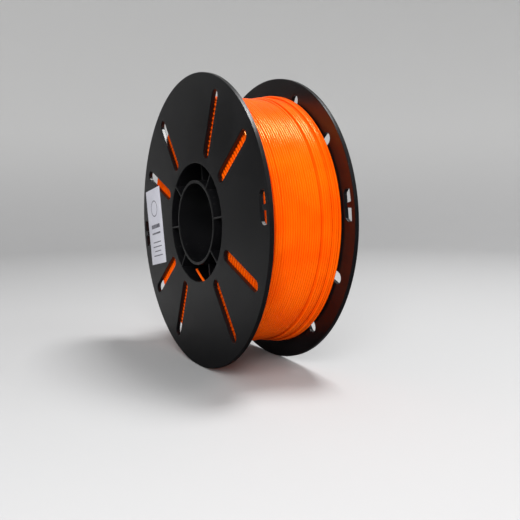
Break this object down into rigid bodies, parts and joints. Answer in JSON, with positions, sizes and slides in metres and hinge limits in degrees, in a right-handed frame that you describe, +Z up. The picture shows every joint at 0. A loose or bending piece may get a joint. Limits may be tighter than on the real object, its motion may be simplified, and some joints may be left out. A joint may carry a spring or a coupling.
{
  "type": "filament spool",
  "caption": "Round two-part plastic spool with slotted flanges, a ribbed hub and a wide spindle bore, wound full of orange filament.",
  "frame": {"origin": "centre of the spindle bore, midway between the two flange faces", "axes": "+Y along the spool's axis from the labelled front flange to the rear flange, +Z up as the spool stands on its rims, +X to the right seen from the front"},
  "size_m": [0.2, 0.0632, 0.2],
  "materials": {
    "spool_plastic": "satin injection-moulded black plastic",
    "filament": "glossy extruded orange plastic strand",
    "label_paper": "white self-adhesive paper"
  },
  "bodies": {
    "root": {"front_half": "spool_plastic", "rear_half": "spool_plastic", "filament_winding": "filament", "filament_inner_end": "filament", "filament_outer_end": "filament", "paper_label": "label_paper"}
  },
  "joints": []
}
